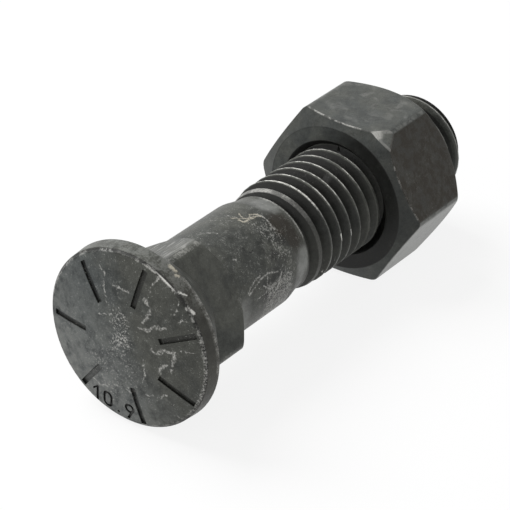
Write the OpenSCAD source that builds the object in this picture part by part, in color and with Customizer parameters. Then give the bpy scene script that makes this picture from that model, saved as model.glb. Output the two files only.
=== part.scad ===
// Domed plow bolt with a square neck and a heavy coarse thread, lying on its side with its hex nut on.
// Each piece is drawn upright first: the bolt's axis is Z, and Z = 0 is the front edge of the head's rim.
// lay_down() then puts the pair on the surface that it rests on.

/* [Head] */
// Widest diameter of the head, at the back edge of the rim
head_d = 26; // [24:0.1:30]
// How much smaller the rim is in diameter at its front edge
rim_taper = 0.3; // [0:0.05:1]
// Height of the rim
rim_h = 2.7; // [1.5:0.1:4]
// Bevel along the rim's two edges
rim_bevel = 0.3; // [0.1:0.05:0.6]
// Height of the crown above the rim
crown_h = 1.4; // [0.6:0.1:3]
// Included angle of the countersunk cone under the head
cone_angle = 80; // [70:1:90]

/* [Head marks] */
// Number of radial lines pressed into the crown
mark_count = 7; // [3:1:8]
// Width of each line
mark_w = 0.85; // [0.4:0.05:1.2]
// Depth of each line below the crown
mark_depth = 0.35; // [0.1:0.05:0.6]
// Distance from the lines' common centre to the inner end of a line
mark_inner_r = 6.3; // [4:0.1:8]
// Distance from the lines' common centre to the outer end of a line
mark_outer_r = 12.05; // [9:0.05:12.1]
// Turn of the first line about the lines' common centre
mark_turn = 50.5; // [0:0.5:360]
// How far the lines' common centre was struck off the head's axis
mark_shift = 0.35; // [0:0.05:0.4]
// Direction of that shift
mark_shift_turn = 230; // [0:5:360]

/* [Head digits] */
// Height of the digits pressed into the crown
digit_h = 2.7; // [1.5:0.1:3]
// Width of a digit
digit_w = 1.6; // [1:0.1:2]
// Width of the digits' lines
digit_line = 0.4; // [0.3:0.05:0.6]
// Depth of the digits below the crown
digit_depth = 0.25; // [0.1:0.05:0.5]
// Distance from one digit to the next
digit_gap = 1.82; // [1.4:0.02:2.2]
// Distance from the axis to the middle of the row of digits
digits_r = 10.65; // [8:0.05:11]
// Place of the row of digits round the axis
digits_at = 280; // [0:1:360]
// Lean of the row of digits from level
digits_lean = 7; // [-30:1:30]

/* [Neck] */
// Width of the square neck across its flats
neck_w = 15.8; // [15.7:0.05:18]
// Radius of the neck's rounded corners
neck_corner_r = 1.2; // [0.5:0.1:4]
// Distance from the rim's front edge to where the flats run out into the shank
neck_end = 14.1; // [12:0.1:20]
// Angle from the axis at which the neck's corners slope down to the shank
neck_slope = 44; // [30:1:60]
// Turn of the neck's flats about the axis
neck_turn = 58.5; // [0:0.5:90]

/* [Shank] */
// Diameter of the plain shank
shank_d = 15.7; // [15:0.05:15.7]
// Distance from the rim's front edge to the start of the shoulder
shank_end = 26.6; // [22:0.1:30]
// Length of the shoulder down to the blank that the thread is rolled on
shoulder_len = 3; // [1:0.1:5]
// Radius that rounds the shoulder off at each end
shoulder_round = 2.6; // [1:0.1:4]

/* [Thread] */
// Major diameter of the bolt's thread, five eighths of an inch
thread_d = 15.875; // [15.5:0.005:16.2]
// Threads in one inch of length
threads_per_inch = 11; // [10:1:12]
// Distance from the rim's front edge to where the thread begins to rise out of the blank
thread_start = 30.3; // [30:0.1:36]
// Turns over which the first crest rises to its full height
thread_rise = 1.5; // [0.4:0.1:1.6]
// Turns over which the first groove sinks to its full depth
groove_rise = 0.3; // [0.1:0.1:1.5]
// Distance from the rim's front edge to the threaded end
bolt_end = 69.2; // [66:0.1:80]
// Diameter of the flat end inside its bevel
end_d = 13; // [12:0.1:14]
// Angle of the end's bevel from the axis
end_slope = 45; // [30:1:60]
// Turn of the thread about the axis
thread_turn = 36; // [0:1:360]

/* [Nut] */
// Width of the nut across its flats
nut_af = 23.8; // [22:0.05:27]
// Height of the nut
nut_h = 13.6; // [12:0.1:16]
// Radius that rounds the nut's six long edges
nut_edge_r = 1.5; // [0.3:0.1:3]
// Radius of the flat ring on the nut's front face
front_face_r = 10.9; // [10:0.1:11.5]
// Radius of the flat ring on the nut's back face
back_face_r = 11.3; // [10:0.1:11.5]
// Angle of the front chamfer from the nut's face
front_chamfer = 30; // [15:1:45]
// Angle of the back chamfer from the nut's face
back_chamfer = 45; // [30:1:60]
// Height above the front face to which one corner is cut off by a flat facet
facet_h = 3.6; // [2:0.1:5]
// Angle of that facet from the nut's face
facet_angle = 67; // [50:1:75]
// Turn of the corner with the facet about the axis
facet_turn = 120; // [0:60:300]
// Diameter of the hole's countersink at each face
countersink_d = 17.6; // [16.6:0.1:19]
// Distance from the rim's front edge to the nut's front face
nut_at = 46.9; // [40:0.1:52]

/* [Fit] */
// Radial clearance between the nut's thread and the bolt's
thread_gap = 0.18; // [0.12:0.01:0.3]

/* [Hidden] */
$fn = 96;
steel = "#3b3c3a";

// Small overlap that joins solids and clears cut faces
bite = 0.5;
// How far the thread's plain first turn stays inside the blank
seat_gap = 0.02;
// Segments in one turn of a thread
turn_steps = 36;
pitch = 25.4 / threads_per_inch;
flank_angle = 30;
crest_w = pitch / 8;
root_w = pitch / 6;
flank_w = (pitch - crest_w - root_w) / 2;
thread_depth = flank_w / tan(flank_angle);
// The thread's solid begins inside the blank, with its first turn plain
thread_base = thread_start - pitch - bite;
// Blank that the thread is rolled on, at the thread's pitch diameter
blank_r = thread_d / 2 - thread_depth + (pitch / 2 - root_w) / 2 / tan(flank_angle);

head_r = head_d / 2;
rim_front_r = head_r - rim_taper / 2;
crown_r = (rim_front_r * rim_front_r + crown_h * crown_h) / (2 * crown_h);
cone_len = (head_r - rim_bevel - shank_d / 2) / tan(cone_angle / 2);
neck_corner_reach = neck_w / sqrt(2);
nut_corner_reach = nut_af / sqrt(3);

// The nut's flat meets its back chamfer here, and that edge carries the nut on the surface
nut_rest = nut_at + nut_h - (nut_af / 2 - back_face_r) * tan(back_chamfer);
rim_rest = rim_h - rim_bevel;
lie_tilt = atan((head_r - nut_af / 2) / (nut_rest - rim_rest));
lie_lift = head_r * cos(lie_tilt) + rim_rest * sin(lie_tilt);
lie_back = (-crown_h + bolt_end * cos(lie_tilt) + end_d / 2 * sin(lie_tilt)) / 2;

// Lays the upright pair down along X, head towards -X, on the rim and the nut's lower flat.
// A turn of 0 about the axis points along +Y and 90 points up.
module lay_down() {
    translate([-lie_back, 0, lie_lift]) rotate([0, 90 + lie_tilt, 0]) rotate([0, 0, 90]) children();
}

function at(angle, r, z) = [r * cos(angle), r * sin(angle), z];

// Solid of a thread from z0 to z1, closed by flat ends. crest(z) and root(z) give its radii at a height.
// base, flank and crest points follow one another along each pitch, and the next turn's base closes it.
module thread_solid(z0, z1, turn, crest, root) {
    n = turn_steps;
    steps = ceil((z1 - z0 - pitch - 2 * bite) / pitch) * n;
    rise = [0, root_w, root_w + flank_w, root_w + flank_w + crest_w];
    height = function(i, j) z0 + bite + pitch * i / n + rise[j];
    angle = function(i) turn + 360 * i / n;
    radius = function(i, j) j < 2 ? root(height(i, j)) : crest(height(i, j));
    helix = [for (i = [0:steps]) for (j = [0:3]) at(angle(i), radius(i, j), height(i, j))];
    last = [for (i = [steps + 1:steps + n]) at(angle(i), radius(i, 0), height(i, 0))];
    foot = [for (i = [0:n - 1]) at(angle(i), root(z0), z0)];
    top = height(steps + n, 0) + bite;
    head = [for (i = [0:n - 1]) at(angle(steps + i), root(top), top)];
    last_at = 4 * (steps + 1);
    foot_at = last_at + n;
    head_at = foot_at + n;
    p = function(i, j) j == 4 ? p(i + n, 0) : i <= steps ? 4 * i + j : last_at + i - steps - 1;
    f = function(i) foot_at + i % n;
    h = function(i) head_at + i % n;
    sheet = [for (i = [0:steps - 1]) for (j = [0:3]) each
        [[p(i, j), p(i, j + 1), p(i + 1, j)], [p(i + 1, j), p(i, j + 1), p(i + 1, j + 1)]]];
    foot_band = [for (i = [0:n - 2]) each [[f(i), p(i, 0), f(i + 1)], [f(i + 1), p(i, 0), p(i + 1, 0)]]];
    foot_seam = [
        [f(n - 1), p(n - 1, 0), p(n, 0)],
        [f(n - 1), p(n, 0), p(0, 3)],
        [f(n - 1), p(0, 3), p(0, 2)],
        [f(n - 1), p(0, 2), p(0, 1)],
        [f(n - 1), p(0, 1), p(0, 0)],
        [f(n - 1), p(0, 0), f(0)]];
    head_band = [for (i = [1:n - 1]) each
        [[p(steps + i, 0), h(i), p(steps + i + 1, 0)], [p(steps + i + 1, 0), h(i), h(i + 1)]]];
    head_seam = [
        [h(1), p(steps + 1, 0), p(steps, 0)],
        [h(1), p(steps, 0), p(steps, 1)],
        [h(1), p(steps, 1), p(steps, 2)],
        [h(1), p(steps, 2), p(steps, 3)],
        [h(1), p(steps, 3), p(steps + n, 0)],
        [h(1), p(steps + n, 0), h(0)]];
    foot_cap = [[for (i = [0:n - 1]) f(i)]];
    head_cap = [[for (i = [n - 1:-1:0]) h(i)]];
    polyhedron(concat(helix, last, foot, head),
        concat(sheet, foot_band, foot_seam, head_band, head_seam, foot_cap, head_cap));
}

module crown_and_rim() {
    rotate_extrude() intersection() {
        translate([0, crown_r - crown_h]) circle(r = crown_r);
        polygon([
            [0, -crown_h - bite],
            [rim_front_r - rim_bevel - crown_h - bite, -crown_h - bite],
            [rim_front_r, rim_bevel],
            [head_r, rim_h - rim_bevel],
            [head_r - rim_bevel, rim_h],
            [shank_d / 2, rim_h + cone_len],
            [0, rim_h + cone_len]]);
    }
}

// Prism of a flat shape, from in front of the head down to a given depth below the crown
module pressed(depth) {
    difference() {
        translate([0, 0, -crown_h - bite]) linear_extrude(crown_h + 2 * bite) children();
        translate([0, 0, crown_r - crown_h]) sphere(r = crown_r - depth);
    }
}

module head_marks() {
    for (k = [0:mark_count - 1]) pressed(mark_depth)
        translate(mark_shift * [cos(mark_shift_turn), sin(mark_shift_turn)])
            rotate(mark_turn + k * 360 / mark_count) translate([mark_inner_r, -mark_w / 2])
                square([mark_outer_r - mark_inner_r, mark_w]);
}

// Place k of the row of digits, whose middle is 0. The mirror makes the row read from in front of the head.
module digit_place(k) {
    translate(digits_r * [cos(digits_at), sin(digits_at)]) rotate(digits_lean) mirror([1, 0])
        translate([k * digit_gap, 0]) children();
}

module digit_one() {
    translate([-digit_line / 2, -digit_h / 2]) square([digit_line, digit_h]);
    polygon([
        [0, digit_h / 2],
        [-digit_w / 2, digit_h / 2 - digit_w / 2],
        [-digit_w / 2, digit_h / 2 - digit_w / 2 - digit_line],
        [0, digit_h / 2 - digit_line]]);
}

module slot(w, h) {
    square([w, h - w], center = true);
    for (y = [-1, 1]) translate([0, y * (h - w) / 2]) circle(d = w);
}

module digit_zero() {
    difference() {
        slot(digit_w, digit_h);
        slot(digit_w - 2 * digit_line, digit_h - 2 * digit_line);
    }
}

module digit_nine() {
    translate([0, (digit_h - digit_w) / 2]) difference() {
        circle(d = digit_w);
        circle(d = digit_w - 2 * digit_line);
    }
    polygon([
        [digit_w / 2, (digit_h - digit_w) / 2],
        [digit_w / 2 - digit_line, (digit_h - digit_w) / 2],
        [-digit_line, -digit_h / 2],
        [0, -digit_h / 2]]);
}

// The digits 10.9, a plain strength class
module head_digits() {
    pressed(digit_depth) digit_place(-1.5) digit_one();
    pressed(digit_depth) digit_place(-0.5) digit_zero();
    pressed(digit_depth) digit_place(0.5) translate([0, (digit_line - digit_h) / 2]) circle(d = digit_line);
    pressed(digit_depth) digit_place(1.5) digit_nine();
}

// Square with rounded corners, exact
module neck_section() {
    half = neck_w / 2 - neck_corner_r;
    square([neck_w, 2 * half], center = true);
    square([2 * half, neck_w], center = true);
    for (x = [-half, half]) for (y = [-half, half]) translate([x, y]) circle(r = neck_corner_r);
}

module neck() {
    top = neck_end - (neck_corner_reach - neck_w / 2) / tan(neck_slope);
    intersection() {
        rotate([0, 0, neck_turn]) translate([0, 0, rim_h]) linear_extrude(neck_end - rim_h) neck_section();
        rotate_extrude() polygon([
            [0, 0],
            [neck_corner_reach, 0],
            [neck_corner_reach, top],
            [neck_w / 2, neck_end],
            [0, neck_end]]);
    }
}

// Shank, and the shoulder down to the blank, rounded at both ends by arcs that meet the slope
module shank() {
    drop = shank_d / 2 - blank_r;
    slope = atan(drop / shoulder_len);
    arc = [for (k = [0:4]) slope * k / 4];
    reach = shoulder_round * tan(slope / 2);
    upper_z = shank_end - reach;
    upper = [for (a = arc)
        [shank_d / 2 - shoulder_round * (1 - cos(a)), upper_z + shoulder_round * sin(a)]];
    lower_z = shank_end + shoulder_len + reach;
    lower = [for (a = arc)
        [blank_r + shoulder_round * (1 - cos(slope - a)), lower_z - shoulder_round * sin(slope - a)]];
    rotate_extrude() polygon(concat([[0, rim_h]], [[shank_d / 2, rim_h]], upper, lower,
        [[blank_r, thread_start], [0, thread_start]]));
}

// Rolled thread. Its groove sinks into the blank, its first crests are cut to a cone, and a bevel ends it.
module bolt_thread() {
    root_r = thread_d / 2 - thread_depth;
    seat_r = blank_r - seat_gap;
    outer = thread_d / 2 + bite;
    part_of = function(z) min(1, max(0, (z - thread_start) / (pitch * groove_rise)));
    full = thread_start + pitch * thread_rise * (outer - blank_r) / (thread_d / 2 - blank_r);
    intersection() {
        thread_solid(thread_base, bolt_end + 2 * pitch, thread_turn,
            function(z) seat_r + (thread_d / 2 - seat_r) * part_of(z),
            function(z) seat_r + (root_r - seat_r) * part_of(z));
        rotate_extrude() polygon([
            [0, 0],
            [blank_r, 0],
            [blank_r, thread_start],
            [outer, full],
            [outer, bolt_end - (outer - end_d / 2) / tan(end_slope)],
            [end_d / 2, bolt_end],
            [0, bolt_end]]);
    }
}

module bolt() {
    color(steel) lay_down() {
        difference() {
            crown_and_rim();
            head_marks();
            head_digits();
        }
        neck();
        shank();
        bolt_thread();
    }
}

// Hexagon with a flat facing up and rounded corners, exact
module nut_section() {
    reach = (nut_af / 2 - nut_edge_r) / cos(30);
    corner = function(k, side) reach * [cos(60 * k), sin(60 * k)]
        + nut_edge_r * [cos(60 * k + side), sin(60 * k + side)];
    polygon([for (k = [0:5]) each [corner(k, -30), corner(k, 30)]]);
    for (k = [0:5]) rotate(60 * k) translate([reach, 0]) circle(r = nut_edge_r);
}

// Outline of the nut turned about its axis: it trims the hexagon's corners at both faces
module nut_trim() {
    outer = nut_corner_reach + bite;
    rotate_extrude() polygon([
        [0, 0],
        [front_face_r, 0],
        [outer, (outer - front_face_r) * tan(front_chamfer)],
        [outer, nut_h - (outer - back_face_r) * tan(back_chamfer)],
        [back_face_r, nut_h],
        [0, nut_h]]);
}

// What the flat facet takes off one front corner
module corner_facet() {
    slope = tan(facet_angle);
    rotate([0, 0, facet_turn]) rotate([90, 0, 0]) linear_extrude(nut_af, center = true) polygon([
        [nut_corner_reach - (facet_h + bite) / slope, -bite],
        [nut_corner_reach + bite, -bite],
        [nut_corner_reach + bite, facet_h + bite * slope]]);
}

// Threaded hole with its two countersinks, as the solid that is taken out of the nut.
// Whole pitches from the bolt's own thread keep the two in mesh wherever the nut sits.
module nut_hole() {
    tip_r = thread_d / 2 + thread_gap;
    from = thread_base + pitch * (floor((nut_at - thread_base) / pitch) - 2);
    to = nut_at + nut_h + 2 * pitch;
    thread_solid(from, to, thread_turn, function(z) tip_r, function(z) tip_r - thread_depth);
    sink_r = countersink_d / 2;
    for (end = [0, 1]) translate([0, 0, nut_at + end * nut_h]) mirror([0, 0, end])
        translate([0, 0, -bite]) cylinder(r1 = sink_r + bite, r2 = 0, h = sink_r + bite);
}

module nut() {
    color(steel) lay_down() difference() {
        translate([0, 0, nut_at]) intersection() {
            linear_extrude(nut_h) nut_section();
            nut_trim();
        }
        translate([0, 0, nut_at]) corner_facet();
        nut_hole();
    }
}

bolt();
nut();
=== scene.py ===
import bpy
import math
from mathutils import Euler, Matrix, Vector

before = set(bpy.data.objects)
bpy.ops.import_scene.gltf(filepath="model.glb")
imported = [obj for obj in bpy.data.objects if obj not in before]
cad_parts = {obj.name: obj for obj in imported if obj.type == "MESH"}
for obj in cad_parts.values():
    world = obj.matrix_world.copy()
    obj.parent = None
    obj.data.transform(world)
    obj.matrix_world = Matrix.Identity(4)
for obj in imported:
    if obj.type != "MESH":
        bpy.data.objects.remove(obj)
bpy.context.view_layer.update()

# Where the bolt lies: its axis starts at the rim's front and tips down towards the thread's end
AXIS_START = (-0.033955833, 0, 0.013043526)
AXIS_TILT = math.radians(1.095959)
ALONG = (math.cos(AXIS_TILT), 0, -math.sin(AXIS_TILT))
ACROSS = (math.sin(AXIS_TILT), 0, math.cos(AXIS_TILT))
SIDEWAYS = (0, 1, 0)
MM_IN_METRE = 1000

# Sizes of the bolt, in mm, as in its source, with places along the axis counted from the rim's front
RIM_R = 12.85
RIM_END = 2.7
CROWN_H = 1.4
CROWN_R = (RIM_R ** 2 + CROWN_H ** 2) / (2 * CROWN_H)
CROWN_CENTRE = (CROWN_R - CROWN_H, 0, 0)
MARK_DEPTH = 0.35
NECK_END = 14.1
NECK_W = 15.8
NECK_ROUND = 1.2
NECK_CORNER_R = NECK_W / math.sqrt(2) - NECK_ROUND * (math.sqrt(2) - 1)
BLANK_R = 7.19
CREST_R = 15.875 / 2
THREADS_PER_INCH = 11
PITCH = 25.4 / THREADS_PER_INCH
THREAD_START = 30.3
THREAD_RISE = 1.5 * PITCH

# Share of a turn at which the middle of the crest's flat lies
CREST_PHASE = 0.61

# Sizes of the nut, in mm, and the slopes of its chamfer and of the facet at its struck corner
NUT_FRONT = 46.9
NUT_H = 13.6
NUT_BACK = NUT_FRONT + NUT_H
NUT_AF = 23.8
NUT_FLAT = NUT_AF / 2
NUT_RING_R = 10.9
NUT_CHAMFER = math.tan(math.radians(30))
FACET_H = 3.6
FACET_TOP = NUT_FRONT + FACET_H
FACET_REACH = NUT_AF / math.sqrt(3)
FACET_SLOPE = math.tan(math.radians(67))

# Radii in mm where oil and painted shade in the hole and wear on the nut start, and between which the last
# crest turns grey with painted light
HOLE_OIL_AND_SHADE_R = 8.5
CORNER_WEAR_R = 13.46
REAR_WEAR_R = 11.2
LAST_CREST_PAINTED_LIGHT = (7.5, 7.8)

# The photograph's camera, with its turns in degrees and its lens and sensor in mm
CAMERA_PLACE = (-0.2489296, -0.1703766, 0.2014849)
CAMERA_TURN = (57.41585, -1.7519, -53.82727)
CAMERA_LENS = 181.948
CAMERA_SENSOR = 36

# The lights, each with its place, its size across and its power
LIGHT_AIM = (0, 0, 0.012)
LIGHTS = [
    ("key", (-0.05, 0.45, 0.55), 0.50, 5.5),
    ("fill", (-0.60, 0.10, 0.30), 0.40, 0.3)]
WORLD_LIGHT = 0.35

# The floor, just under the part, with the share of it that looks plain white
FLOOR_HALF = 3.0
FLOOR_DROP = 0.00002
FLOOR_WHITE = 0.86
WHITE = (1, 1, 1, 1)
PALE = (0.95, 0.95, 0.95, 1)

# Colours of the oxide, of oil and old dirt, which also serves as painted shade, and of rubbed and bare steel,
# the rubbed one also serving as painted light
COOL_DARK = (0.029, 0.033, 0.033)
COOL_LIGHT = (0.094, 0.104, 0.103)
WARM_DARK = (0.032, 0.033, 0.028)
WARM_LIGHT = (0.093, 0.096, 0.084)
OIL_AND_PAINTED_SHADE = (0.007, 0.007, 0.006)
BROWN = (0.026, 0.022, 0.016)
RUBBED_AND_PAINTED_LIGHT = (0.205, 0.21, 0.198)
WORN = (0.47, 0.465, 0.44)
BARE = (0.75, 0.74, 0.70)
TAN = (0.52, 0.485, 0.40)

# Shares of olive tone in the black finish, and the depth of its relief in metres
BOLT_WARMTH = 0.95
NUT_WARMTH = 0.6
RELIEF = 0.00008

# Thread facets are welded within this distance, in metres, and shaded smooth where they meet below this angle
WELD_REACH = 1e-7
SMOOTH_ANGLE = math.radians(28)

# Directions round the axis, in degrees: 0 is +Y, 90 is up, 180 is the side that the photo shows
HEAD_COOL = -20
# Directions of the head's painted light, then of its painted shade
HEAD_PAINTED_LIGHT = -48
HEAD_PAINTED_SHADE = 160
RIM_BROWN = 165
# Where the rim's rubbed wear is kept, as painted light on its top
RIM_RUBBED_AND_PAINTED_LIGHT = 85
NECK_UPPER_FLAT = 58.5
# Direction in which the thread's valleys are lighter, as painted light
THREAD_PAINTED_LIGHT = 195
NUT_CORNER = 120
NUT_RIGHT_FLAT = 150
# The nut's low flat, which is lightened as a painted reflection
NUT_LOW_FLAT = 210
# Where painted shade falls on the nut's front ring and on its front chamfer
RING_PAINTED_SHADE = 190
FRONT_PAINTED_SHADE_LOW = 225
FRONT_PAINTED_SHADE_RIGHT = 162

# Sectors round the axis, each given as (direction, spread to either side, soft edge) in degrees
BRIGHT_EDGE = (118, 12, 3)
FADING_EDGE = (130, 24, 6)
ROUGH_EDGE = (182, 26, 10)
BACK_EDGE = (155, 26, 10)
# Painted light on the fillet at the neck's end
FILLET_PAINTED_LIGHT = (198, 14, 14)
LOW_SPECKS = (198, 12, 10)
SHOULDER_ARC = (138, 26, 14)
GROOVE_LIP = (115, 25, 15)
FIRST_CREST = (62, 30, 55)
SECOND_CREST = (102, 22, 14)
UPPER_CRESTS = (90, 22, 40)

# Places and stretches along the axis that the wear and the last crest's painted light follow, in mm
NECK_CORNER_WORN = (4.8, 11.5)
LOW_SPECKS_RUN = (19.5, 26.0)
SHOULDER_ARC_MIDDLE = 24.6
SECOND_CREST_RUN = (33.2, 35.2)
LAST_CREST = 66.8

# Ragged patches, each given as (along, side, up), reach and soft edge in mm
HEAD_CORE = [((-CROWN_H, 0.0, 0.6), 0.2, 2.6)]
HEAD_LOW_DUST = [((-1.0, 1.5, -5.0), 2.5, 5.0)]
SHANK_WEB = [((21.4, -7.7, 0.4), 1.4, 2.4)]
SHANK_PITS = [((23.8, -5.6, 5.4), 1.8, 1.6)]
SHANK_STAINS = [((27.4, -4.4, 6.2), 1.4, 1.7), ((28.0, -6.0, 4.6), 1.0, 1.4)]
SHANK_RUBBED = [((29.2, -7.1, 0.8), 1.2, 1.7), ((28.8, -0.6, 7.3), 1.0, 1.8)]
NUT_STRUCK = [((48.0, -4.9, 11.8), 0.9, 1.1)]

# Scuffs on the head's face, given as (side, up) in mm, each with its width
HEAD_SCUFFS = [
    ([(1.9, 7.9), (0.7, 7.9), (-0.6, 7.9)], 0.30),
    ([(-3.3, 7.7), (-3.8, 7.1), (-4.2, 5.9), (-3.3, 4.6)], 0.32),
    ([(-2.9, 3.5), (-4.1, 3.7), (-5.9, 4.6), (-6.7, 4.8)], 0.30),
    ([(-4.6, 1.2), (-5.4, 0.7), (-6.8, 1.4), (-8.0, 1.8), (-8.2, 0.4), (-7.8, -1.3)], 0.30),
    ([(-3.4, -1.1), (-3.7, -2.9), (-3.6, -5.0)], 0.20),
    ([(-6.1, -1.9), (-7.0, -0.6)], 0.34),
    ([(-3.6, 8.8), (-4.2, 10.1), (-4.7, 11.3)], 0.22),
    ([(-9.6, 6.8), (-8.3, 6.2)], 0.18),
    ([(4.6, 9.9), (3.4, 8.8), (3.5, 6.9), (2.6, 5.2)], 0.20),
    ([(0.2, 0.2), (-1.9, 0.0)], 0.18),
    ([(3.7, 2.8), (2.6, 3.5), (1.6, 3.8)], 0.18),
    ([(0.4, 4.5), (-0.7, 3.8)], 0.16),
    ([(-4.1, -6.5), (-5.7, -6.2), (-7.3, -5.3)], 0.16),
    ([(1.2, -7.2), (-1.3, -7.2)], 0.20),
    ([(5.0, -7.9), (4.0, -8.6), (1.7, -7.9)], 0.20),
    ([(-7.7, 7.0), (-8.0, 8.5), (-8.5, 9.4)], 0.16),
    ([(-9.1, 2.2), (-11.7, 2.8)], 0.12)]

# The speckled patch at the head's centre, given in the same way
HEAD_CENTRE = [([(0.4, 3.2), (0.0, 1.2), (0.2, -0.6)], 2.5)]

# Chips at the rim, given as (along, side, up) in mm, each with its width
RIM_CHIPS = [
    ([(0.3, -7.8, 10.1), (0.7, -8.2, 9.8)], 0.26),
    ([(0.7, -8.2, 9.8), (1.0, -8.5, 9.6)], 0.16),
    ([(0.1, -9.2, 8.9), (0.3, -9.8, 8.2)], 0.13),
    ([(0.3, -9.8, 8.2), (0.4, -10.1, 7.9)], 0.32)]
RIM_SPOTS = [
    ([(2.2, -5.0, 12.0), (2.3, -5.6, 11.7)], 0.55),
    ([(1.7, -6.2, 11.4), (1.9, -6.4, 11.3)], 0.34)]

# Scratches and the dent on the shank, given as (along, side, up) in mm, each with its width
SHANK_TAN = [
    ([(22.6, -0.7, 7.8), (22.7, -1.5, 7.7), (23.6, -1.6, 7.7), (24.5, -1.6, 7.7), (25.2, -1.9, 7.6)], 0.20),
    ([(23.9, 0.2, 7.8), (23.3, -0.8, 7.8), (23.8, -1.6, 7.7)], 0.14),
    ([(24.6, -1.0, 7.8), (25.5, -1.6, 7.7), (25.6, -2.2, 7.5)], 0.16),
    ([(22.2, 0.4, 7.8), (23.2, -0.9, 7.8), (24.4, -1.9, 7.6)], 0.12),
    ([(23.0, -2.0, 7.5), (24.2, -1.2, 7.7), (25.0, -1.1, 7.8)], 0.12)]
SHANK_PALE = [
    ([(15.8, -7.6, 2.1), (16.6, -7.4, 2.7), (17.8, -7.2, 3.2), (19.1, -7.1, 3.3)], 0.14),
    ([(16.1, -7.6, 1.9), (17.5, -7.4, 2.4), (18.9, -7.3, 2.9), (20.6, -7.2, 3.0), (22.6, -7.5, 2.4)], 0.16),
    ([(19.2, -7.6, 1.8), (20.3, -7.8, 0.9), (21.3, -7.8, 0.6)], 0.16),
    ([(20.4, -7.4, 2.6), (20.0, -7.6, 1.8), (20.6, -7.8, 0.3), (20.9, -7.8, -0.7)], 0.16),
    ([(17.4, -7.8, 0.5), (19.7, -7.8, 0.7)], 0.12),
    ([(21.3, -7.8, -0.3), (22.3, -7.8, 0.4), (22.8, -7.8, 1.2), (23.3, -7.6, 2.0)], 0.26),
    ([(18.2, -7.6, 1.9), (19.6, -7.7, 0.9), (20.5, -7.7, -0.4)], 0.08),
    ([(21.0, -7.5, 2.2), (20.4, -7.7, 1.0), (19.0, -7.8, -0.4)], 0.08),
    ([(20.4, 2.3, 7.5), (21.7, -0.3, 7.8)], 0.12),
    ([(22.4, 1.4, 7.7), (22.9, -0.1, 7.8)], 0.12),
    ([(17.1, 0.6, 7.8), (18.0, -0.7, 7.8)], 0.12),
    ([(16.1, -4.7, 6.2), (16.5, -4.9, 6.1)], 0.22),
    ([(25.8, -2.0, 7.6), (25.8, -3.0, 7.2), (25.6, -3.8, 6.9), (25.6, -4.5, 6.4)], 0.18)]
SHANK_DENT = [([(18.6, -4.2, 6.6), (19.1, -4.9, 6.1), (19.9, -5.2, 5.9)], 0.22)]

# Bright spots where crests were struck, given as (along, side, up) in mm, each with its width
CREST_SPOTS = [
    ([(37.2, -7.8, 1.5), (37.4, -7.9, 0.6)], 0.26),
    ([(39.6, -7.9, 1.2), (39.7, -7.9, 0.4)], 0.22),
    ([(36.8, -7.3, -2.2), (36.9, -7.1, -3.0)], 0.18),
    ([(32.1, -6.2, -3.6), (32.3, -6.0, -4.0)], 0.34),
    ([(34.5, -7.0, -3.2), (34.7, -6.6, -3.9)], 0.18),
    ([(45.6, -6.8, 4.1), (45.8, -7.0, 3.6)], 0.26)]


def on_crown(table):
    """Strokes of the head given as (side, up), brought to the crown's height."""
    def raised(side, up):
        return CROWN_CENTRE[0] - math.sqrt(CROWN_R ** 2 - side * side - up * up), side, up
    return [([raised(*point) for point in points], width) for points, width in table]


class Nodes:
    """Short helpers that add nodes to one node tree."""

    def __init__(self, tree):
        self.tree = tree
        tree.nodes.clear()

    def new(self, kind, inputs=(), **settings):
        """A new node. Its inputs come by name in a dict, or else in their own order."""
        node = self.tree.nodes.new(kind)
        for name, value in settings.items():
            setattr(node, name, value)
        pairs = inputs.items() if isinstance(inputs, dict) else enumerate(inputs)
        for key, value in pairs:
            self.put(value, node.inputs[key])
        return node

    def put(self, value, socket):
        """Links another node's output to a socket, or sets the socket to a plain value."""
        if hasattr(value, "node"):
            self.tree.links.new(value, socket)
        else:
            socket.default_value = value

    def math(self, operation, a, b=0.0, c=0.0, clamp=False):
        return self.new("ShaderNodeMath", (a, b, c), operation=operation, use_clamp=clamp).outputs[0]

    def vector_math(self, operation, a, b):
        node = self.new("ShaderNodeVectorMath", (a, b), operation=operation)
        return node.outputs["Value" if operation in ("DOT_PRODUCT", "DISTANCE") else "Vector"]

    def scale(self, vector, factor):
        node = self.new("ShaderNodeVectorMath", {0: vector, "Scale": factor}, operation="SCALE")
        return node.outputs[0]

    def combine(self, x, y, z):
        return self.new("ShaderNodeCombineXYZ", (x, y, z)).outputs[0]

    def ramp(self, value, low, high, bottom=0.0, top=1.0, smooth=True):
        """Value mapped from low..high to bottom..top, held at both ends."""
        node = self.new("ShaderNodeMapRange", (value, low, high, bottom, top), clamp=not smooth,
                        interpolation_type="SMOOTHSTEP" if smooth else "LINEAR")
        return node.outputs[0]

    def noise(self, place, scale, detail, rough, seed, distortion=0.0, output="Fac"):
        inputs = {"Vector": place, "W": seed, "Scale": scale, "Detail": detail, "Roughness": rough,
                  "Distortion": distortion}
        return self.new("ShaderNodeTexNoise", inputs, noise_dimensions="4D").outputs[output]

    def mix(self, share, a, b):
        """Colour a turned into colour b by a share."""
        node = self.new("ShaderNodeMix", {"Factor": share}, data_type="RGBA")
        colours = [s for s in node.inputs if s.type == "RGBA"]
        for value, socket in zip((a, b), colours):
            self.put(value if hasattr(value, "node") else (*value, 1.0), socket)
        return [s for s in node.outputs if s.type == "RGBA"][0]

    def mix_value(self, share, a, b):
        """Number a turned into number b by a share."""
        return self.math("MULTIPLY_ADD", share, self.math("SUBTRACT", b, a), a)

    def most(self, first, *others):
        """The largest of some numbers."""
        for other in others:
            first = self.math("MAXIMUM", first, other)
        return first

    def both(self, first, *others):
        """Shares multiplied, so that all of them have to hold."""
        for other in others:
            first = self.math("MULTIPLY", first, other)
        return first


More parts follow.
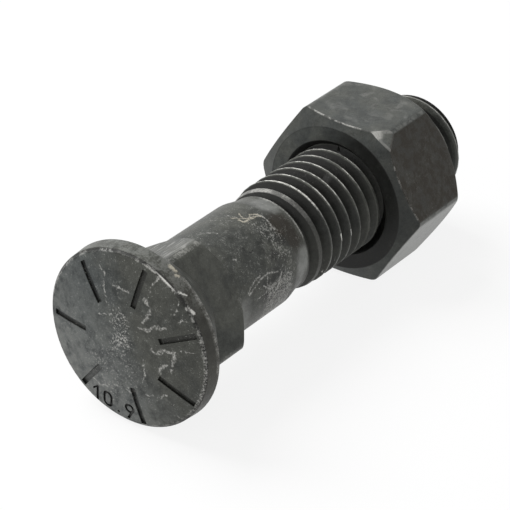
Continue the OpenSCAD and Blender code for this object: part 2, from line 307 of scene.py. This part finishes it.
class Surface(Nodes):
    """A metal surface's nodes: where a point of it is, and the noise that finish and wear follow."""

    def __init__(self, material):
        material.use_nodes = True
        super().__init__(material.node_tree)

        # The point in the bolt's own terms, in mm: along the axis, to the side, up, and its radius
        coordinates = self.new("ShaderNodeTexCoord").outputs["Object"]
        from_start = self.scale(self.vector_math("SUBTRACT", coordinates, AXIS_START), MM_IN_METRE)
        self.along = self.vector_math("DOT_PRODUCT", from_start, ALONG)
        self.up = self.vector_math("DOT_PRODUCT", from_start, ACROSS)
        self.side = self.vector_math("DOT_PRODUCT", from_start, SIDEWAYS)
        squares = self.math("ADD", self.both(self.up, self.up), self.both(self.side, self.side))
        self.radius = self.math("SQRT", squares)
        self.at = self.combine(self.along, self.side, self.up)
        self.rough_at = self.shifted(1.6, scale=0.9, detail=3, rough=0.6, seed=11.0)
        self.frayed_at = self.shifted(0.6, scale=4.5, detail=2, rough=0.7, seed=15.0)

        # Noise from coarse to fine, and what is made of it
        self.cloud = self.noise(self.at, scale=0.22, detail=4, rough=0.6, seed=1.0, distortion=0.4)
        self.patch = self.noise(self.at, scale=0.85, detail=6, rough=0.62, seed=2.0, distortion=0.3)
        self.grain = self.noise(self.at, scale=4.5, detail=4, rough=0.7, seed=3.0)
        self.fine = self.noise(self.at, scale=13.0, detail=3, rough=0.6, seed=4.0)
        flecks = self.noise(self.at, scale=3.2, detail=6, rough=0.8, seed=7.0, distortion=0.8)
        dense = self.noise(self.at, scale=5.5, detail=4, rough=0.7, seed=8.0, distortion=0.3)
        self.flecks = self.ramp(flecks, 0.55, 0.63)
        self.dense = self.ramp(dense, 0.52, 0.62)
        self.spread = self.ramp(self.cloud, 0.44, 0.62)
        self.broken = self.grainy(0.42, 0.56)

    def shifted(self, reach, **pattern):
        """The point moved by up to half of reach, so that an edge that follows it is ragged."""
        shift = self.noise(self.at, output="Color", **pattern)
        shift = self.vector_math("SUBTRACT", shift, (0.5, 0.5, 0.5))
        return self.vector_math("ADD", self.at, self.scale(shift, reach))

    def patchy(self, low, high, bottom=0.0, top=1.0):
        """From bottom to top where the coarse noise goes from low to high."""
        return self.ramp(self.patch, low, high, bottom, top)

    def grainy(self, low, high, bottom=0.0, top=1.0):
        """From bottom to top where the grain goes from low to high."""
        return self.ramp(self.grain, low, high, bottom, top)

    def toward(self, turn):
        """Distance from the axis in one direction: 0 degrees is +Y, 90 is up."""
        side = self.math("MULTIPLY", self.side, math.cos(math.radians(turn)))
        return self.math("MULTIPLY_ADD", self.up, math.sin(math.radians(turn)), side)

    def sector(self, span, radius):
        """1 within a sector given as (direction, spread, soft edge), for a surface of the given radius."""
        turn, spread, soft = span
        inner = radius * math.cos(math.radians(spread))
        outer = radius * math.cos(math.radians(spread + soft))
        return self.ramp(self.toward(turn), outer, inner)

    def band(self, value, low, high, soft):
        """1 between low and high, with soft ends."""
        fading = self.ramp(value, high - soft, high + soft, 1.0, 0.0)
        return self.both(self.ramp(value, low - soft, low + soft), fading)

    def near(self, value, target, reach):
        """1 where value is at target, falling to 0 at reach from it."""
        away = self.math("ABSOLUTE", self.math("SUBTRACT", value, target))
        return self.ramp(away, reach * 0.3, reach, 1.0, 0.0)

    def blots(self, table):
        """Ragged patches round the centres of a table."""
        found = []
        for centre, reach, soft in table:
            away = self.vector_math("DISTANCE", self.rough_at, centre)
            found.append(self.ramp(away, reach, reach + soft, 1.0, 0.0))
        return self.most(*found)

    def strokes(self, table, place=None):
        """Scratches through the points of a table, as ragged as the place that is given."""
        place = place or self.rough_at
        found = 0.0
        for points, width in table:
            for a, b in zip(points, points[1:]):
                run = Vector(b) - Vector(a)
                offset = self.vector_math("SUBTRACT", place, a)
                share = self.vector_math("DOT_PRODUCT", offset, (run / run.length_squared)[:])
                share = self.math("MINIMUM", self.math("MAXIMUM", share, 0.0), 1.0)
                away = self.vector_math("DISTANCE", offset, self.scale(run[:], share))
                found = self.most(found, self.ramp(away, width * 0.35, width, 1.0, 0.0))
        return found

    def hairlines(self, scale, width, seed):
        """Thin curling scratches."""
        field = self.noise(self.at, scale, detail=3, rough=0.55, seed=seed, distortion=1.2)
        away = self.math("ABSOLUTE", self.math("SUBTRACT", field, 0.5))
        return self.ramp(away, width * 0.4, width, 1.0, 0.0)

    def specks(self, thick):
        """Crisp pale specks, more of them where thick is near 1."""
        return self.ramp(self.math("MULTIPLY_ADD", thick, 0.16, self.grain), 0.63, 0.69)


def oxide(s, warmth):
    """Base colour of the black finish, before any wear. Warmth is its share of olive tone."""
    tone = s.math("MULTIPLY_ADD", s.patch, 0.35, s.math("MULTIPLY", s.cloud, 0.30))
    small = s.math("MULTIPLY_ADD", s.grain, 0.20, s.math("MULTIPLY", s.fine, 0.15))
    tone = s.ramp(s.math("ADD", tone, small), 0.40, 0.60, smooth=False)
    cool = s.mix(tone, COOL_DARK, COOL_LIGHT)
    warm = s.mix(tone, WARM_DARK, WARM_LIGHT)
    drift = s.ramp(s.cloud, 0.35, 0.65, -0.25, 0.25)
    return s.mix(s.math("ADD", warmth, drift, clamp=True), cool, warm)


def roughness(s, worn):
    """Roughness of the finish, a little higher where it is worn."""
    return s.math("MULTIPLY_ADD", worn, 0.05, s.patchy(0.3, 0.7, 0.40, 0.52))


def finish_shader(s, colour, rough, worn, dirt):
    """Metal that shines more where it is worn and less where oil, dirt and painted shade lie on it."""
    metal = s.ramp(dirt, 0.0, 1.0, 0.45, 0.1, smooth=False)
    metal = s.math("MULTIPLY_ADD", worn, 0.4, metal, clamp=True)
    height = s.math("MULTIPLY_ADD", s.grain, 0.55, s.math("MULTIPLY", s.fine, 0.30))
    height = s.math("MULTIPLY_ADD", s.patch, 0.8, height)
    bump = s.new("ShaderNodeBump", {"Strength": 0.55, "Distance": RELIEF, "Height": height})
    shader = s.new("ShaderNodeBsdfPrincipled", {
        "Base Color": colour, "Metallic": metal, "Roughness": rough, "Specular IOR Level": 0.3,
        "Normal": bump.outputs[0]})
    s.new("ShaderNodeOutputMaterial", (shader.outputs[0],))


class BoltSurface(Surface):
    """The bolt's surface, with shares that say which part of the bolt a point is on."""

    def __init__(self, material):
        super().__init__(material)
        self.head = self.ramp(self.along, 0.05, 0.3, 1.0, 0.0)
        self.front = self.ramp(self.along, 0.25, 0.4, 1.0, 0.0)
        self.shank = self.band(self.along, NECK_END - 1.0, THREAD_START - 0.4, 0.5)
        self.threaded = self.ramp(self.along, THREAD_START - 0.2, THREAD_START + 0.2)
        self.before_thread = self.ramp(self.along, THREAD_START - 0.3, THREAD_START, 1.0, 0.0)


def bolt_finish(s):
    """The bolt's unworn colour: cool, and lighter with painted light, on one side of the head, with painted
    shade on its other side; brown on the rim, with rubbed wear kept to its top as painted light; and painted
    light greying the last crest.
    """
    cool = s.both(s.head, s.ramp(s.toward(HEAD_COOL), -6.0, 6.0))
    colour = oxide(s, s.math("SUBTRACT", BOLT_WARMTH, cool))
    # Painted light on one side of the head
    light = s.both(s.head, s.ramp(s.toward(HEAD_PAINTED_LIGHT), -2.0, 12.0, 0.0, 0.7, smooth=False))
    colour = s.mix(s.both(light, s.patchy(0.3, 0.6)), colour, RUBBED_AND_PAINTED_LIGHT)
    rim = s.ramp(s.along, RIM_END + 0.3, RIM_END + 0.5, 1.0, 0.0)
    rim = s.both(s.ramp(s.radius, RIM_R - 0.1, RIM_R), rim)
    colour = s.mix(s.both(rim, s.ramp(s.toward(RIM_BROWN), 5.0, 11.5, 0.0, 0.5)), colour, BROWN)
    # Rubbed wear on the rim, kept to its top as painted light
    rim = s.both(rim, s.ramp(s.toward(RIM_RUBBED_AND_PAINTED_LIGHT), 4.0, 12.0))
    mottled = s.ramp(s.math("ADD", s.patch, s.grain), 0.86, 1.12, 0.0, 0.45)
    colour = s.mix(s.both(rim, mottled), colour, RUBBED_AND_PAINTED_LIGHT)
    # Painted shade on the head's other side
    dark = s.both(s.head, s.ramp(s.toward(HEAD_PAINTED_SHADE), 0.0, 10.0, 0.0, 0.3, smooth=False))
    colour = s.mix(dark, colour, WARM_DARK)
    # Painted light that greys the last crest
    end = s.both(s.ramp(s.along, LAST_CREST - 0.5, LAST_CREST), s.ramp(s.radius, *LAST_CREST_PAINTED_LIGHT), 0.35)
    return s.mix(end, colour, RUBBED_AND_PAINTED_LIGHT)


def bolt_oil(s):
    """Dark oil in the pressed marks and digits, and on the flanks and roots of the thread, made lighter as
    painted light towards one side and past the nut.
    """
    depth = s.math("SUBTRACT", CROWN_R, s.vector_math("DISTANCE", s.at, CROWN_CENTRE))
    pressed = s.both(s.ramp(depth, 0.04, 0.12), s.ramp(s.along, 0.2, 0.3, 1.0, 0.0))
    pressed = s.both(pressed, s.ramp(depth, MARK_DEPTH - 0.05, MARK_DEPTH - 0.02, 0.9, 0.55))
    # Painted light: the thread's valleys are less dark towards one side and past the nut
    painted_light_side = s.ramp(s.toward(THREAD_PAINTED_LIGHT), 1.5, 7.0, 0.96, 0.45)
    painted_light_end = s.math("ADD", s.radius, s.ramp(s.along, NUT_BACK, NUT_BACK + 1.0, 0.0, 0.5))
    valley = s.ramp(painted_light_end, CREST_R - 0.25, CREST_R - 0.08, 1.0, 0.0)
    return s.most(pressed, s.both(s.threaded, valley, painted_light_side))


def shank_stains(s, colour):
    """A colour with the brown stain at the shoulder, with the pale rubbed steel, and with painted light on
    the fillet at the neck's end.
    """
    colour = s.mix(s.both(s.blots(SHANK_STAINS), s.before_thread), colour, BROWN)
    rubbed = s.both(s.blots(SHANK_RUBBED), s.before_thread, s.patchy(0.35, 0.6, 0.6, 1.0))
    # Painted light on the fillet at the neck's end, where it catches the light
    fillet = s.band(s.along, NECK_END - 0.2, NECK_END + 2.0, 0.8)
    fillet = s.both(fillet, s.sector(FILLET_PAINTED_LIGHT, BLANK_R), 0.7)
    fillet = s.both(fillet, s.patchy(0.35, 0.6, 0.5, 1.0))
    return s.mix(s.most(rubbed, fillet), colour, RUBBED_AND_PAINTED_LIGHT)


def shank_dark_spots(s):
    """Dark pits, the dent, and the dark web between the scratches."""
    pits = s.both(s.blots(SHANK_PITS), s.patchy(0.46, 0.54, 1.0, 0.0), s.broken, 0.85)
    dent = s.both(s.strokes(SHANK_DENT), 0.9)
    web = s.both(s.blots(SHANK_WEB), s.patchy(0.44, 0.54, 0.75, 0.25))
    return s.most(pits, dent, web)


def thread_wear(s):
    """Shares of worn and of bare steel on the thread: rubbed crests, brighter on top as a painted highlight,
    struck spots, the groove's lip.
    """
    rise = (CREST_R - BLANK_R) / THREAD_RISE
    cone = s.math("MULTIPLY_ADD", s.along, rise, BLANK_R - THREAD_START * rise)
    crest_r = s.math("MINIMUM", cone, CREST_R)
    crest = s.both(s.threaded, s.ramp(s.math("SUBTRACT", s.radius, crest_r), -0.09, -0.035))

    # Crests are brighter above than below, as wear with a painted highlight on top, and brighter before the
    # nut than behind it
    streaks = s.noise(s.at, scale=0.5, detail=5, rough=0.65, seed=5.0)
    wear = s.both(s.sector(UPPER_CRESTS, CREST_R), s.ramp(streaks, 0.42, 0.56, 0.35, 1.3))
    wear = s.both(wear, s.ramp(s.along, NUT_BACK, NUT_BACK + 1.0, 1.0, 0.4))
    wear = s.most(wear, s.ramp(streaks, 0.45, 0.65, 0.10, 0.3))

    # A thin wandering line along each crest, a broad one on the second, and the wide grey first crest
    turned = s.math("MULTIPLY", s.math("ARCTAN2", s.up, s.side), 1 / math.tau)
    phase = s.math("FRACT", s.math("SUBTRACT", s.math("DIVIDE", s.along, PITCH), turned))
    line = s.near(s.math("MULTIPLY_ADD", streaks, 0.07, phase), CREST_PHASE + 0.035, 0.055)
    second = s.both(s.band(s.along, *SECOND_CREST_RUN, 0.3), s.sector(SECOND_CREST, CREST_R))
    second = s.both(second, s.grainy(0.36, 0.5))
    wear = s.most(s.both(wear, s.math("MULTIPLY_ADD", line, 0.9, 0.1)), s.both(second, 0.7))
    first = s.both(s.sector(FIRST_CREST, CREST_R), s.ramp(streaks, 0.42, 0.58, 0.14, 0.42))
    full_crest = s.ramp(s.math("SUBTRACT", cone, CREST_R), -0.10, 0.02)
    wear = s.mix_value(full_crest, s.math("ADD", first, 0.05), wear)
    crest = s.both(crest, wear, s.grainy(0.38, 0.54, 0.45, 1.0))

    lip = s.both(s.near(s.along, THREAD_START - 0.15, 0.2), s.ramp(s.radius, BLANK_R - 0.2, BLANK_R - 0.1))
    lip = s.both(lip, s.sector(GROOVE_LIP, BLANK_R), s.grainy(0.4, 0.56, 0.15, 0.7))
    struck = s.both(s.strokes(CREST_SPOTS, s.at), s.threaded)
    struck = s.both(struck, s.ramp(s.radius, CREST_R - 0.5, CREST_R - 0.2))
    return s.most(struck, lip), s.most(crest, s.both(struck, 0.7))


def rim_wear(s, front_edge):
    """Shares of worn, bare and tan steel on the rim: its front edge, its back edge, chips and spots."""
    bright = s.both(s.near(s.radius, RIM_R - 0.33, 0.16), s.front, s.grainy(0.36, 0.48, 0.3, 1.0))
    fading = s.both(s.sector(FADING_EDGE, RIM_R), s.patchy(0.46, 0.56, 0.0, 0.35))
    bright = s.both(bright, s.most(s.sector(BRIGHT_EDGE, RIM_R), fading))
    rough = s.both(front_edge, s.sector(ROUGH_EDGE, RIM_R), s.grainy(0.46, 0.58), 0.85)
    speckled = s.both(front_edge, s.patchy(0.46, 0.56), s.broken, 0.55)
    back = s.both(s.near(s.along, RIM_END - 0.3, 0.75), s.ramp(s.radius, RIM_R - 0.15, RIM_R))
    back = s.both(back, s.sector(BACK_EDGE, RIM_R), s.patchy(0.42, 0.56, 0.2, 1.0))
    back = s.both(back, s.grainy(0.40, 0.58, 0.12, 0.6))
    chips = s.both(s.strokes(RIM_CHIPS, s.frayed_at), s.grainy(0.38, 0.52, 0.3, 0.85))
    spots = s.both(s.strokes(RIM_SPOTS, s.frayed_at), s.grainy(0.36, 0.5, 0.3, 0.9))
    return s.most(bright, rough, speckled, back), s.most(s.both(bright, 0.7), chips), spots


def neck_wear(s):
    """Share of worn steel on the neck: a rubbed corner, and streaks along its upper flat."""
    corner = s.band(s.along, *NECK_CORNER_WORN, 0.4)
    corner = s.both(corner, s.ramp(s.radius, NECK_CORNER_R - 0.12, NECK_CORNER_R - 0.03))
    corner = s.both(corner, s.patchy(0.46, 0.56, 0.1, 1.0), s.broken, 0.45)
    stretched = s.vector_math("MULTIPLY", s.at, (0.35, 2.2, 2.2))
    drawn = s.noise(stretched, scale=1.0, detail=4, rough=0.6, seed=9.0, distortion=0.2)
    streaks = s.both(s.band(s.along, RIM_END + 0.5, NECK_END - 0.5, 0.5), s.ramp(drawn, 0.50, 0.64))
    streaks = s.both(streaks, s.near(s.toward(NECK_UPPER_FLAT), NECK_W / 2, 0.3), 0.55)
    return s.most(corner, streaks)


def head_wear(s):
    """Share of worn steel on the head: scuffs, a speckled patch at its centre, and dust low down."""
    scuffs = s.both(s.strokes(on_crown(HEAD_SCUFFS)), s.head, s.grainy(0.42, 0.58, 0.15, 1.0))
    centre = s.most(s.both(s.strokes(on_crown(HEAD_CENTRE)), 0.6), s.blots(HEAD_CORE))
    centre = s.both(s.specks(centre), s.head, s.ramp(s.fine, 0.36, 0.56, 0.55, 1.0))
    low = s.blots(HEAD_LOW_DUST)
    low = s.most(s.both(s.specks(s.both(low, 0.45)), 0.7), s.both(low, s.flecks, s.patch))
    dust = s.most(s.both(s.dense, 0.07), s.both(s.flecks, s.patchy(0.48, 0.58), 0.5))
    return s.most(scuffs, centre, s.both(s.head, low), s.both(s.head, dust))


def shank_wear(s):
    """Shares of worn and of tan steel on the shank: scratches, a speckled arc, and curling lines."""
    tan = s.both(s.strokes(SHANK_TAN, s.frayed_at), s.grainy(0.38, 0.52, 0.3, 1.0))
    pale = s.both(s.strokes(SHANK_PALE, s.frayed_at), s.grainy(0.42, 0.54, 0.1, 0.95))
    arc = s.both(s.near(s.along, SHOULDER_ARC_MIDDLE, 2.4), s.sector(SHOULDER_ARC, BLANK_R))
    arc = s.both(arc, s.patchy(0.38, 0.52, 0.4, 1.0))
    arc = s.specks(s.both(arc, s.ramp(s.dense, 0.0, 1.0, 0.6, 0.95)))
    low = s.both(s.band(s.along, *LOW_SPECKS_RUN, 1.0), s.sector(LOW_SPECKS, BLANK_R))
    low_wear = s.most(s.both(s.specks(low), 0.6), s.both(s.broken, s.patchy(0.42, 0.54), 0.15))
    curls = s.most(s.hairlines(0.5, 0.010, 12.0), s.hairlines(0.9, 0.012, 13.0))
    curls = s.both(curls, s.shank, s.patchy(0.46, 0.56), s.broken, 0.4)
    return s.most(pale, s.both(arc, s.shank, 0.72), s.both(low, low_wear), curls), tan


def bolt_material():
    """Black oxide with oil in the marks and the thread, and worn where the photo shows it."""
    material = bpy.data.materials.new("bolt_black_oxide")
    s = BoltSurface(material)
    colour = bolt_finish(s)
    dark_share = bolt_oil(s)
    colour = shank_stains(s, s.mix(dark_share, colour, OIL_AND_PAINTED_SHADE))
    dark_spots = shank_dark_spots(s)
    colour = s.mix(dark_spots, colour, OIL_AND_PAINTED_SHADE)
    thread_worn, thread_bare = thread_wear(s)
    front_edge = s.both(s.near(s.radius, RIM_R - 0.3, 0.30), s.front)
    colour = s.mix(s.both(front_edge, s.patchy(0.46, 0.56, 0.5, 0.0)), colour, OIL_AND_PAINTED_SHADE)
    rim_worn, rim_bare, rim_tan = rim_wear(s, front_edge)
    shank_worn, shank_tan = shank_wear(s)
    flecks = s.both(s.flecks, s.spread, s.ramp(s.threaded, 0.0, 1.0, 0.2, 0.1))
    worn = s.most(thread_worn, rim_worn, neck_wear(s), head_wear(s), shank_worn, flecks)
    tan = s.most(shank_tan, rim_tan)
    bare = s.most(thread_bare, rim_bare)
    colour = s.mix(s.both(worn, 0.8), colour, WORN)
    colour = s.mix(s.both(tan, 0.75), colour, TAN)
    colour = s.mix(s.both(bare, 0.85), colour, BARE)
    worn = s.most(worn, tan, bare)
    finish_shader(s, colour, roughness(s, worn), worn, s.most(dark_share, dark_spots))
    return material


class NutSurface(Surface):
    """The nut's surface, with a point's distance behind the front chamfer and the struck facet."""

    def __init__(self, material):
        super().__init__(material)
        ring_tip = NUT_FRONT - NUT_RING_R * NUT_CHAMFER
        chamfer = self.math("MULTIPLY_ADD", self.radius, NUT_CHAMFER, ring_tip)
        self.past_chamfer = self.math("SUBTRACT", self.along, chamfer)
        self.corner_reach = self.toward(NUT_CORNER)
        facet_tip = FACET_TOP - FACET_REACH * FACET_SLOPE
        facet = self.math("MULTIPLY_ADD", self.corner_reach, FACET_SLOPE, facet_tip)
        self.past_facet = self.math("SUBTRACT", self.along, facet)

    def flat(self, height, margin):
        """1 on a flat, given the height of a point towards it."""
        return self.ramp(height, NUT_FLAT - margin, NUT_FLAT - 0.02)

    def chamfer_edge(self, height):
        """1 along the edge between the front chamfer and a flat, given the height towards it."""
        on_flat = self.ramp(height, NUT_FLAT - 0.2, NUT_FLAT - 0.05)
        return self.both(self.near(self.past_chamfer, 0.02, 0.16), on_flat)


def nut_oil_and_painted_shade(s):
    """Painted shade on the front ring beside the thread and on parts of the front chamfer, and oil with
    painted shade in the hole.
    """
    # Oil with painted shade in the hole
    hole = s.both(s.ramp(s.radius, HOLE_OIL_AND_SHADE_R, HOLE_OIL_AND_SHADE_R + 0.4, 1.0, 0.0), 0.9)
    # Painted shade on the front ring beside the thread
    ring = s.ramp(s.along, NUT_FRONT + 0.02, NUT_FRONT + 0.08, 1.0, 0.0)
    ring = s.both(ring, s.ramp(s.toward(RING_PAINTED_SHADE), -6.0, 3.0))
    # Painted shade on parts of the front chamfer
    front = s.ramp(s.toward(FRONT_PAINTED_SHADE_LOW), -4.0, 6.0, 0.3, 0.0)
    front = s.most(front, s.ramp(s.toward(FRONT_PAINTED_SHADE_RIGHT), 7.0, 11.0, 0.0, 0.45))
    front = s.both(s.ramp(s.past_chamfer, 0.05, 0.12, 1.0, 0.0), front)
    return s.most(hole, s.both(ring, 0.88), front)


def nut_wear(s):
    """Share of worn steel on the nut: its edges, the struck corner, faint smudges and flecks."""
    top_edge = s.both(s.chamfer_edge(s.up), s.patchy(0.44, 0.54, 0.12, 0.9), s.grainy(0.36, 0.5, 0.3, 1.0))
    right_edge = s.both(s.chamfer_edge(s.toward(NUT_RIGHT_FLAT)), s.patchy(0.48, 0.58), s.broken, 0.45)
    facet = s.both(s.near(s.past_facet, 0.0, 0.25), s.ramp(s.corner_reach, 12.3, 12.6))
    facet = s.both(facet, s.ramp(s.along, FACET_TOP + 0.4, FACET_TOP + 0.7, 1.0, 0.0))
    facet_rim = s.most(s.near(s.past_chamfer, 0.0, 0.3), s.near(s.up, NUT_FLAT, 0.4))
    facet_wear = s.most(s.ramp(facet_rim, 0.0, 1.0, 0.10, 0.4), s.blots(NUT_STRUCK))
    facet = s.both(facet, facet_wear, s.grainy(0.36, 0.50, 0.6, 1.0))
    corners = s.ramp(s.radius, CORNER_WEAR_R, CORNER_WEAR_R + 0.05)
    corners = s.both(corners, s.patchy(0.40, 0.56), 0.2)
    rear = NUT_BACK + REAR_WEAR_R
    rear_edge = s.ramp(s.math("ADD", s.along, s.radius), rear, rear + 0.1)
    rear_edge = s.both(rear_edge, s.patchy(0.42, 0.54, 0.35, 1.0), 0.4)
    smudges = s.noise(s.at, scale=0.42, detail=3, rough=0.5, seed=14.0, distortion=0.6)
    smudges = s.both(s.flat(s.up, 0.12), s.ramp(smudges, 0.50, 0.68), s.grainy(0.3, 0.6, 0.1, 0.2))
    flecks = s.both(s.flecks, s.spread, 0.16)
    return s.most(top_edge, right_edge, facet, corners, rear_edge, smudges, flecks)


def nut_material():
    """Black oxide with oil and painted shade round the hole, a brown right flat, and a low flat lightened as
    a painted reflection.
    """
    material = bpy.data.materials.new("nut_black_oxide")
    s = NutSurface(material)
    dark_share = nut_oil_and_painted_shade(s)
    # Oil and painted shade darken the hole, the front ring and parts of the chamfer
    colour = s.mix(dark_share, oxide(s, NUT_WARMTH), OIL_AND_PAINTED_SHADE)
    right = s.both(s.flat(s.toward(NUT_RIGHT_FLAT), 0.12), s.patchy(0.38, 0.58, 0.6, 1.0))
    colour = s.mix(right, colour, BROWN)
    # Painted reflection that lightens the low flat
    low = s.both(s.flat(s.toward(NUT_LOW_FLAT), 0.15), s.patchy(0.32, 0.60, 0.5, 1.0))
    colour = s.mix(low, colour, RUBBED_AND_PAINTED_LIGHT)
    worn = nut_wear(s)
    colour = s.mix(s.both(worn, 0.8), colour, WORN)
    rough = s.math("MULTIPLY_ADD", low, -0.13, roughness(s, worn))
    finish_shader(s, colour, rough, worn, dark_share)
    return material


def smooth_thread(node):
    """Welds the flat thread facets of a CAD node and shades them smooth, except across sharp edges."""
    tree = bpy.data.node_groups.new("smooth_thread_" + node.name, "GeometryNodeTree")
    tree.is_modifier = True
    for direction in ("INPUT", "OUTPUT"):
        tree.interface.new_socket("Geometry", in_out=direction, socket_type="NodeSocketGeometry")
    n = Nodes(tree)
    start = n.new("NodeGroupInput").outputs[0]
    flat = n.new("GeometryNodeInputNamedAttribute", {"Name": "sharp_face"}, data_type="BOOLEAN")
    split = n.new("GeometryNodeSeparateGeometry", {
        "Geometry": start, "Selection": flat.outputs["Attribute"]}, domain="FACE")
    plain = n.new("GeometryNodeRemoveAttribute", {
        "Geometry": split.outputs["Selection"], "Name": "custom_normal"})
    weld = n.new("GeometryNodeMergeByDistance", {
        "Geometry": plain.outputs[0], "Distance": WELD_REACH})
    faces = n.new("GeometryNodeSetShadeSmooth", {
        "Geometry": weld.outputs[0], "Shade Smooth": True}, domain="FACE")
    angle = n.new("GeometryNodeInputMeshEdgeAngle").outputs["Unsigned Angle"]
    sharp = n.new("ShaderNodeMath", (angle, SMOOTH_ANGLE), operation="GREATER_THAN")
    edges = n.new("GeometryNodeSetShadeSmooth", {
        "Geometry": faces.outputs[0], "Selection": sharp.outputs[0],
        "Shade Smooth": False}, domain="EDGE")
    join = n.new("GeometryNodeJoinGeometry", (split.outputs["Inverted"],))
    n.put(edges.outputs[0], join.inputs[0])
    n.new("NodeGroupOutput", (join.outputs[0],))
    node.modifiers.new("smooth_thread", "NODES").node_group = tree


def seen_directly(n):
    """1 for what the camera sees, also in metal or through glass."""
    path = n.new("ShaderNodeLightPath").outputs
    return n.most(path["Is Camera Ray"], path["Is Glossy Ray"], path["Is Transmission Ray"])


def make_world():
    """A soft light from all round, seen by the camera as plain white."""
    world = bpy.data.worlds.new("studio")
    world.use_nodes = True
    bpy.context.scene.world = world
    n = Nodes(world.node_tree)
    soft = n.new("ShaderNodeBackground", {"Color": WHITE, "Strength": WORLD_LIGHT})
    seen = n.new("ShaderNodeBackground", {"Color": WHITE, "Strength": 1.0})
    mix = n.new("ShaderNodeMixShader", (seen_directly(n), soft.outputs[0], seen.outputs[0]))
    n.new("ShaderNodeOutputWorld", (mix.outputs[0],))


def make_floor():
    """A pale floor that keeps part of the object's shadow."""
    corners = [(-FLOOR_HALF, -FLOOR_HALF, 0), (FLOOR_HALF, -FLOOR_HALF, 0),
               (FLOOR_HALF, FLOOR_HALF, 0), (-FLOOR_HALF, FLOOR_HALF, 0)]
    mesh = bpy.data.meshes.new("floor")
    mesh.from_pydata(corners, [], [(0, 1, 2, 3)])
    floor = bpy.data.objects.new("floor", mesh)
    floor.location.z = -FLOOR_DROP
    bpy.context.scene.collection.objects.link(floor)
    material = bpy.data.materials.new("pale_floor")
    material.use_nodes = True
    n = Nodes(material.node_tree)
    matt = n.new("ShaderNodeBsdfDiffuse", {"Color": PALE})
    white = n.new("ShaderNodeEmission", {"Strength": 1.0})
    share = n.both(seen_directly(n), FLOOR_WHITE)
    mix = n.new("ShaderNodeMixShader", (share, matt.outputs[0], white.outputs[0]))
    n.new("ShaderNodeOutputMaterial", (mix.outputs[0],))
    mesh.materials.append(material)


def make_camera():
    data = bpy.data.cameras.new("photo_camera")
    data.sensor_width = CAMERA_SENSOR
    data.sensor_fit = "HORIZONTAL"
    data.lens = CAMERA_LENS
    data.clip_start = 0.01
    data.clip_end = 20
    camera = bpy.data.objects.new("photo_camera", data)
    camera.location = CAMERA_PLACE
    camera.rotation_euler = Euler([math.radians(a) for a in CAMERA_TURN], "XYZ")
    bpy.context.scene.collection.objects.link(camera)
    bpy.context.scene.camera = camera


def area_light(name, place, size, power):
    data = bpy.data.lights.new(name, "AREA")
    data.shape = "DISK"
    data.size = size
    data.energy = power
    lamp = bpy.data.objects.new(name, data)
    lamp.location = place
    lamp.rotation_euler = (Vector(LIGHT_AIM) - Vector(place)).to_track_quat("-Z", "Y").to_euler()
    bpy.context.scene.collection.objects.link(lamp)


make_camera()
make_world()
make_floor()
for light in LIGHTS:
    area_light(*light)

for name, finish in (("bolt", bolt_material), ("nut", nut_material)):
    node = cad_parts[name]
    node.material_slots[0].material = finish()
    smooth_thread(node)

bpy.context.scene.view_settings.view_transform = "Standard"
